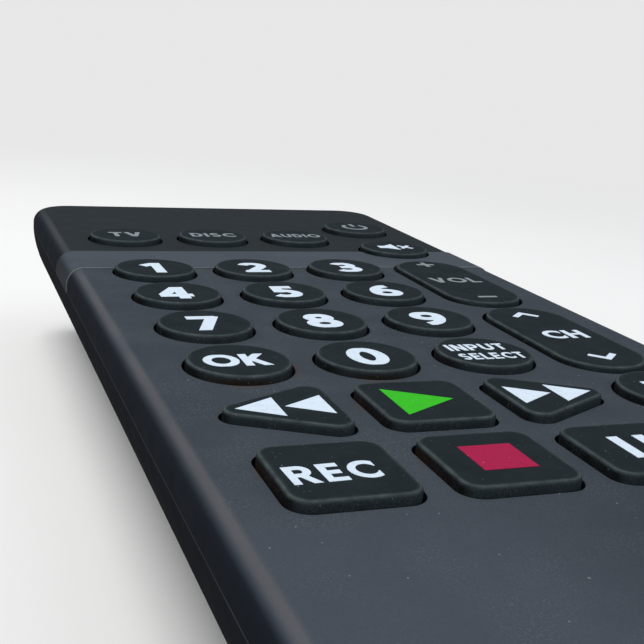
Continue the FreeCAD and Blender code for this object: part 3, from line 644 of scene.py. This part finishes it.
# Each sign is a list of open paths and a list of closed ones, in a box one unit high. What stands out above
# or below the box is cut off
stem = [(0.1, 0.0), (0.1, 1.0)]
signs = {
    "0": ([], [arc(0.33, 0.5, 0.235, 0.4, 0, 351, 40)]),
    "1": ([[(0.36, 0.0), (0.36, 1.0)], [(0.06, 0.72), (0.38, 0.95)]], []),
    "2": ([np.concatenate([arc(0.31, 0.68, 0.215, 0.22, 160, -28), [(0.08, -0.02)]]),
           [(0.04, 0.1), (0.6, 0.1)]], []),
    "3": ([arc(0.28, 0.71, 0.2, 0.19, 150, -90), arc(0.28, 0.31, 0.24, 0.21, 90, -150),
           [(0.17, 0.515), (0.3, 0.515)]], []),
    "4": ([[(0.47, 0.0), (0.47, 1.0)], [(0.5, 1.1), (0.09, 0.33)], [(0.0, 0.28), (0.68, 0.28)]], []),
    "5": ([[(0.14, 0.9), (0.55, 0.9)], [(0.215, 1.0), (0.18, 0.44)],
           arc(0.28, 0.335, 0.25, 0.235, 124, -145)], []),
    "6": ([arc(0.56, 0.34, 0.465, 0.57, 180, 96)], [arc(0.33, 0.315, 0.235, 0.215, 0, 351, 40)]),
    "7": ([[(0.04, 0.9), (0.6, 0.9)], [(0.56, 0.98), (0.19, -0.08)]], []),
    "8": ([], [arc(0.33, 0.72, 0.185, 0.18, 0, 351, 40), arc(0.33, 0.305, 0.235, 0.205, 0, 351, 40)]),
    "9": ([arc(0.1, 0.66, 0.465, 0.57, 0, -84)], [arc(0.33, 0.685, 0.235, 0.215, 0, 351, 40)]),
    "A": ([[(0.07, -0.06), (0.37, 1.04)], [(0.67, -0.06), (0.37, 1.04)], [(0.18, 0.26), (0.56, 0.26)]], []),
    "C": ([arc(0.47, 0.5, 0.37, 0.4, 28, 332, 30)], []),
    "D": ([stem, np.concatenate([[(0.1, 0.9), (0.26, 0.9)], arc(0.28, 0.5, 0.32, 0.4, 90, -90),
                                 [(0.1, 0.1)]])], []),
    "E": ([stem, [(0.1, 0.9), (0.54, 0.9)], [(0.1, 0.51), (0.5, 0.51)], [(0.1, 0.1), (0.56, 0.1)]], []),
    "H": ([stem, [(0.6, 0.0), (0.6, 1.0)], [(0.1, 0.51), (0.6, 0.51)]], []),
    "I": ([stem], []),
    "K": ([stem, [(0.6, 1.06), (0.12, 0.4)], [(0.26, 0.58), (0.64, -0.06)]], []),
    "L": ([stem, [(0.1, 0.1), (0.52, 0.1)]], []),
    "N": ([stem, [(0.6, 0.0), (0.6, 1.0)], [(0.09, 1.06), (0.61, -0.06)]], []),
    "O": ([], [arc(0.47, 0.5, 0.37, 0.4, 0, 351, 40)]),
    "P": ([stem, np.concatenate([[(0.1, 0.9), (0.3, 0.9)], arc(0.34, 0.67, 0.2, 0.23, 90, -90),
                                 [(0.1, 0.44)]])], []),
    "R": ([stem, np.concatenate([[(0.1, 0.9), (0.3, 0.9)], arc(0.35, 0.69, 0.19, 0.21, 90, -90),
                                 [(0.1, 0.48)]]),
           [(0.33, 0.52), (0.63, -0.06)]], []),
    "S": ([np.concatenate([arc(0.31, 0.705, 0.2, 0.195, 28, 262),
                           arc(0.3, 0.305, 0.215, 0.205, 82, -150)])], []),
    "T": ([[(0.29, 0.0), (0.29, 1.0)], [(0.0, 0.9), (0.58, 0.9)]], []),
    "U": ([np.concatenate([[(0.1, 1.0)], arc(0.35, 0.36, 0.25, 0.26, 180, 360), [(0.6, 1.0)]])], []),
    "V": ([[(0.06, 1.06), (0.335, -0.04)], [(0.61, 1.06), (0.335, -0.04)]], []),
}
# Signs whose strokes are also cut upright at their right end
upright_ends = {"C": 0.74}


def cut_off(polygon, axis, limit, keep):
    """A convex polygon without what lies beyond a limit on one axis.

    Where an edge crosses the limit, the new corner divides it as its two corners' distances from
    the limit do. Keep is 1 to keep the side above the limit and -1 to keep the side below.
    """
    beyond = keep * (polygon[:, axis] - limit)
    corners = []
    for here in range(len(polygon)):
        following = (here + 1) % len(polygon)
        if beyond[here] >= 0:
            corners.append(polygon[here])
        if beyond[here] * beyond[following] < 0:
            share = beyond[here] / (beyond[here] - beyond[following])
            corners.append(polygon[here] + share * (polygon[following] - polygon[here]))
    return np.array(corners).reshape(-1, 2)


def legend(text, height, stretch=1.1, shift=(0.0, 0.0), weight=stroke_share, gap=0.13, turn=0.0):
    """The polygons of a word or number: its signs set in a row with a small gap, centred on the shift.

    The row is turned about the shift by some degrees, as print on rubber often sits a little askew.
    """
    polygons = []
    left = 0.0
    for sign in text:
        open_paths, closed_paths = signs[sign]
        shapes = [q for path in open_paths for q in ribbon(path, weight)]
        shapes += [q for path in closed_paths for q in ribbon(path, weight, True)]
        cuts = [(1, 0.0, 1), (1, 1.0, -1)]
        if sign in upright_ends:
            cuts.append((0, upright_ends[sign], -1))
        for axis, limit, keep in cuts:
            shapes = [q for q in (cut_off(q, axis, limit, keep) for q in shapes) if len(q) > 2]
        right = max(q[:, 0].max() for q in shapes)
        polygons += [q + (left, -0.5) for q in shapes]
        left += right + gap
    cosine, sine = math.cos(math.radians(turn)), math.sin(math.radians(turn))
    turned = np.array([(cosine, sine), (-sine, cosine)])
    return [(q - ((left - gap) / 2, 0)) * (height * stretch, height) @ turned + shift for q in polygons]


def ink_finish(name, colour, faded, wear):
    """Screen ink: nearly even colour, thin in places where fingers rub it, with a little dust."""
    material, tree, shader, place = new_finish(name)
    thin = product(tree, remap(tree, noise(tree, place, 0.5, 4.0, 0.7), 0.45, 0.75), wear)
    base = blend_colours(tree, thin, colour, faded)
    lint = product(tree, specks(tree, place, 0.5, 0.09, 0.25), 0.6)
    base = blend_colours(tree, lint, base, (214, 214, 214))
    tree.links.new(base, shader.inputs["Base Color"])
    shader.inputs["Roughness"].default_value = 0.6
    shader.inputs["Specular IOR Level"].default_value = 0.05
    grain(tree, shader, place, 0.13, 0.008, 0.5)
    return material


white_ink = ink_finish("white_ink", (200, 214, 228), (156, 168, 178), 0.35)
green_ink = ink_finish("green_ink", (52, 174, 34), (46, 140, 38), 0.4)
red_ink = ink_finish("red_ink", (152, 27, 67), (122, 26, 55), 0.4)
grey_ink = ink_finish("grey_ink", (126, 134, 140), (100, 106, 110), 0.4)

for digit in range(10):
    node = "key_%d" % digit
    # 1 and 4 carry their weight on the right, so they are printed further left
    aside = -0.45 if digit in (1, 4) else -0.05
    printed(node, node + "_digit", white_ink, legend(str(digit), 5.1, 1.08, (aside, -0.4), 0.23))

printed("key_record", "key_record_word", white_ink, legend("REC", 2.95, 1.0, (-0.6, -0.6), turn=2.3))
printed("key_ok", "key_ok_word", white_ink, legend("OK", 3.4, 1.0, (-0.3, -0.25), 0.23, gap=0.09))
two_lines = legend("INPUT", 2.0, 0.97, (-0.25, 1.3), 0.19) + legend("SELECT", 1.9, 0.87, (0.05, -1.6), 0.19)
printed("key_text", "key_text_words", white_ink, two_lines)

bar_mm = 0.62
plus = ribbon([(-1.25, 9.0), (1.25, 9.0)], bar_mm) + ribbon([(0.0, 7.75), (0.0, 10.25)], bar_mm)
minus = ribbon([(-1.25, -8.6), (1.25, -8.6)], bar_mm)
volume = plus + legend("VOL", 2.5) + minus
printed("rocker_volume", "rocker_volume_marks", grey_ink, volume)
chevrons = [[(-1.5, 7.2), (0.0, 8.6), (1.5, 7.2)], [(-1.5, -7.2), (0.0, -8.6), (1.5, -7.2)]]
channel = [q for path in chevrons for q in ribbon(path, 0.7)] + legend("CH", 2.9, 1.1, (0.3, 0.0))
printed("rocker_channel", "rocker_channel_marks", white_ink, channel)

square = [(2.21 * i, 2.21 * j) for i, j in corner_signs]
printed("key_stop", "key_stop_square", red_ink, [square])
printed("key_play", "key_play_arrow", green_ink, [[(-2.85, -3.3), (2.64, -0.18), (-2.85, 2.94)]])
arrow_length, arrow_half, arrow_step = 3.65, 2.16, 4.14
right_arrows = []
for tail in (-arrow_step / 2 - arrow_length / 2, arrow_step / 2 - arrow_length / 2):
    right_arrows.append([(tail, -arrow_half), (tail + arrow_length, 0.0), (tail, arrow_half)])
printed("key_forward", "key_forward_arrows", white_ink, right_arrows)
left_arrows = [[(-px, -py) for px, py in arrow] for arrow in right_arrows]
printed("key_rewind", "key_rewind_arrows", white_ink, left_arrows)
bars = [ribbon([(s, -2.1), (s, 2.1)], 1.0)[0] for s in (-1.2, 1.2)]
printed("key_pause", "key_pause_bars", white_ink, bars)

power = ribbon([(0.0, 0.4), (0.0, 2.4)], 0.6) + ribbon(arc(0, 0, 1.8, 1.8, 128, 412), 0.6)
printed("key_power", "key_power_sign", grey_ink, power)
box = [(-2.4, -0.75), (-1.3, -0.75), (-1.3, 0.75), (-2.4, 0.75)]
horn = [(-1.3, -0.75), (0.3, -1.95), (0.3, 1.95), (-1.3, 0.75)]
crossing = ribbon([(0.9, -0.95), (2.6, 0.95)], 0.55) + ribbon([(0.9, 0.95), (2.6, -0.95)], 0.55)
printed("key_mute", "key_mute_sign", white_ink, [box, horn] + crossing)
menu = [q for h in (-1.4, 0.0, 1.4) for q in ribbon([(-2.1, h), (2.1, h)], bar_mm)]
printed("key_menu", "key_menu_sign", white_ink, menu)
bend = np.concatenate([[(-2.0, -1.4), (0.7, -1.4)], arc(0.7, 0.0, 1.4, 1.4, -85, 90), [(-1.7, 1.4)]])
back_sign = ribbon(bend, 0.6) + ribbon([(-0.7, 2.5), (-2.0, 1.4), (-0.7, 0.3)], 0.6)
printed("key_back", "key_back_sign", white_ink, back_sign)
sources = ((1, "TV", 2.9, 1.1), (2, "DISC", 2.45, 1.0), (3, "AUDIO", 2.25, 0.9))
for number, word, height, stretch in sources:
    node = "key_source_%d" % number
    printed(node, node + "_word", grey_ink, legend(word, height, stretch))

# Key mat, board and pads: a sheet of grey silicone rubber lies on a green glass-fibre board, with a hole for
# each plunger and screw post. The carbon pads are printed on the board under the plungers.


def plain_finish(name, node_names, colour, lighter, roughness, metallic=0.0, lump_mm=2.0, depth_mm=0.01):
    """A worked finish for solids that already have their shape.

    Noise runs between two tones and between two roughnesses, and a finer noise is its bump.
    """
    material, tree, shader, place = new_finish(name)
    tone = remap(tree, noise(tree, place, lump_mm, 4.0, 0.6), 0.35, 0.65)
    tree.links.new(blend_colours(tree, tone, colour, lighter), shader.inputs["Base Color"])
    rough = remap(tree, noise(tree, place, lump_mm / 3, 3.0), 0.3, 0.7, roughness * 0.85, roughness * 1.15)
    tree.links.new(rough, shader.inputs["Roughness"])
    shader.inputs["Metallic"].default_value = metallic
    grain(tree, shader, place, lump_mm / 8, depth_mm)
    for node in node_names:
        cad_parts[node].data.materials.clear()
        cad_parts[node].data.materials.append(material)
    return material


plain_finish("mat_rubber", ["keypad_mat"], (58, 62, 66), (66, 70, 74), 0.7)
plain_finish("carbon_black", ["contact_pads"], (24, 24, 26), (34, 34, 36), 0.6, lump_mm=0.6)
plain_finish("board_green", ["circuit_board"], (22, 84, 52), (30, 98, 60), 0.35, lump_mm=1.5)

# Infrared end: a window of dark tinted plastic is glued in the end wall. The lamp behind it is cast in
# violet resin, and its two tinned legs are bent up to the board and soldered.

window_dark = plain_finish(
    "window_dark", ["ir_window"], (20, 12, 18), (26, 16, 24), 0.3, lump_mm=6, depth_mm=0.002)
window_dark.node_tree.nodes["Principled BSDF"].inputs["Specular IOR Level"].default_value = 0.2
plain_finish("lamp_resin", ["ir_emitter"], (64, 52, 92), (72, 60, 104), 0.15, lump_mm=3, depth_mm=0.002)
plain_finish("tinned_wire", ["ir_leads"], (176, 178, 178), (192, 194, 192), 0.3, 1.0, 0.8)

# Parts under the board: the controller in black epoxy, its blue ceramic resonator, a reservoir capacitor in
# a dark blue sleeve and a row of chip resistors under black glaze, all soldered to the board's underside.

plain_finish("chip_epoxy", ["control_chip"], (30, 30, 32), (38, 38, 40), 0.6, lump_mm=0.8)
plain_finish("ceramic_blue", ["resonator"], (52, 92, 148), (60, 102, 160), 0.4)
plain_finish("sleeve_blue", ["capacitor"], (34, 42, 74), (40, 50, 84), 0.35)
plain_finish("resistor_glaze", ["resistors"], (28, 28, 30), (40, 40, 42), 0.3, lump_mm=0.6)

# Cells, contacts and screws: two AAA cells in plain sleeves lie between contacts pressed from spring steel,
# with bowed leaves at the minus ends and buttons at the plus ends. Two zinc-plated screws close the case.

plain_finish("cell_sleeve", ["cell_left", "cell_right"], (58, 84, 112), (66, 94, 124), 0.3, 0.2)
contacts = ["minus_contact", "plus_contact", "bridge_contact"]
plain_finish("spring_steel", contacts, (188, 188, 184), (202, 202, 198), 0.28, 1.0)
plain_finish("screw_zinc", ["case_screws"], (150, 152, 156), (168, 170, 172), 0.35, 1.0)

# Floor, light and view: a sheet of pale paper that fades into the backdrop further out, under two soft lamps
# and an even sky. The camera stands low at the near left, as in the photograph.

floor_half_m = 6
fade_from_m = 0.14
fade_to_m = 0.4
paper_grey = (0.8, 0.8, 0.8, 1)
floor_mesh = bpy.data.meshes.new("floor")
floor_corners = [(i * floor_half_m, j * floor_half_m, 0) for i, j in corner_signs]
floor_mesh.from_pydata(floor_corners, [], [(0, 1, 2, 3)])
floor = bpy.data.objects.new("floor", floor_mesh)
bpy.context.scene.collection.objects.link(floor)
floor_paint, tree, shader, place = new_finish("floor_paint")
tone = remap(tree, noise(tree, place, 60, 3.0), 0.3, 0.7)
pale = blend_colours(tree, tone, (0.76, 0.76, 0.76, 1), (0.78, 0.78, 0.78, 1))
# The paper is pale where the camera looks at it, and darker for the light that it throws back on the walls
seen = tree.nodes.new("ShaderNodeLightPath").outputs["Is Camera Ray"]
tree.links.new(blend_colours(tree, seen, (0.3, 0.3, 0.3, 1), pale), shader.inputs["Base Color"])
shader.inputs["Roughness"].default_value = 0.9
shader.inputs["Specular IOR Level"].default_value = 0.1
distance = wire_up(tree, "ShaderNodeVectorMath", {0: place}, operation="LENGTH").outputs["Value"]
paper = wire_up(tree, "ShaderNodeEmission", {"Color": paper_grey})
far_off = product(tree, remap(tree, distance, fade_from_m, fade_to_m, smooth=True), seen)
backdrop = wire_up(tree, "ShaderNodeMixShader", {0: far_off, 1: shader.outputs[0], 2: paper.outputs[0]})
tree.links.new(backdrop.outputs[0], tree.nodes["Material Output"].inputs["Surface"])
floor_mesh.materials.append(floor_paint)

world = bpy.data.worlds.new("studio")
bpy.context.scene.world = world
world.use_nodes = True
sky = world.node_tree
background = sky.nodes["Background"]
# The sky is as pale as the paper where the camera looks at it, and darker as a light
paths = sky.nodes.new("ShaderNodeLightPath").outputs
seen = maths(sky, "MAXIMUM", paths["Is Camera Ray"], paths["Is Transmission Ray"])
tone = blend_colours(sky, seen, (0.33, 0.34, 0.36, 1), paper_grey)
sky.links.new(tone, background.inputs["Color"])
background.inputs["Strength"].default_value = 1.0


def soft_lamp(name, place, target, size, power, colour):
    """A large square lamp that looks at a point.

    It is tilted by the angle between straight down and the line to the point, and then turned
    about Z towards that line.
    """
    data = bpy.data.lights.new(name, "AREA")
    data.size = size
    data.energy = power
    data.color = colour
    lamp = bpy.data.objects.new(name, data)
    lamp.location = place
    way = np.array(target) - np.array(place)
    tilt = math.acos(-way[2] / np.linalg.norm(way))
    lamp.rotation_euler = (tilt, 0, math.atan2(way[1], way[0]) - math.pi / 2)
    bpy.context.scene.collection.objects.link(lamp)


soft_lamp("over_lamp", (-0.3, 0.12, 0.85), (0, 0.02, 0), 0.6, 8, (1.0, 0.99, 0.97))
soft_lamp("fill_lamp", (0.6, -0.4, 0.7), (0, 0, 0), 0.9, 2.0, (0.94, 0.97, 1.0))

# The photograph's own view, solved from where its keys lie: the camera's place, its focal length and the
# directions that run right and down in the picture
camera_mm = (-45.15, -90.63, 50.12)
focal_pixels = 1060
picture_pixels = 644
camera_data = bpy.data.cameras.new("camera")
camera_data.sensor_width = 36
camera_data.lens = camera_data.sensor_width * focal_pixels / picture_pixels
camera_data.clip_start = 0.002
camera = bpy.data.objects.new("camera", camera_data)
right = np.array([0.936403, -0.342647, 0.075780])
down = np.array([-0.020201, -0.268218, -0.963147])
ahead = np.cross(right, down)
rows = [(right[i], -down[i], -ahead[i], camera_mm[i] * MM) for i in range(3)]
camera.matrix_world = Matrix([*rows, (0, 0, 0, 1)])
bpy.context.scene.collection.objects.link(camera)
bpy.context.scene.camera = camera
bpy.context.scene.view_settings.view_transform = "Standard"
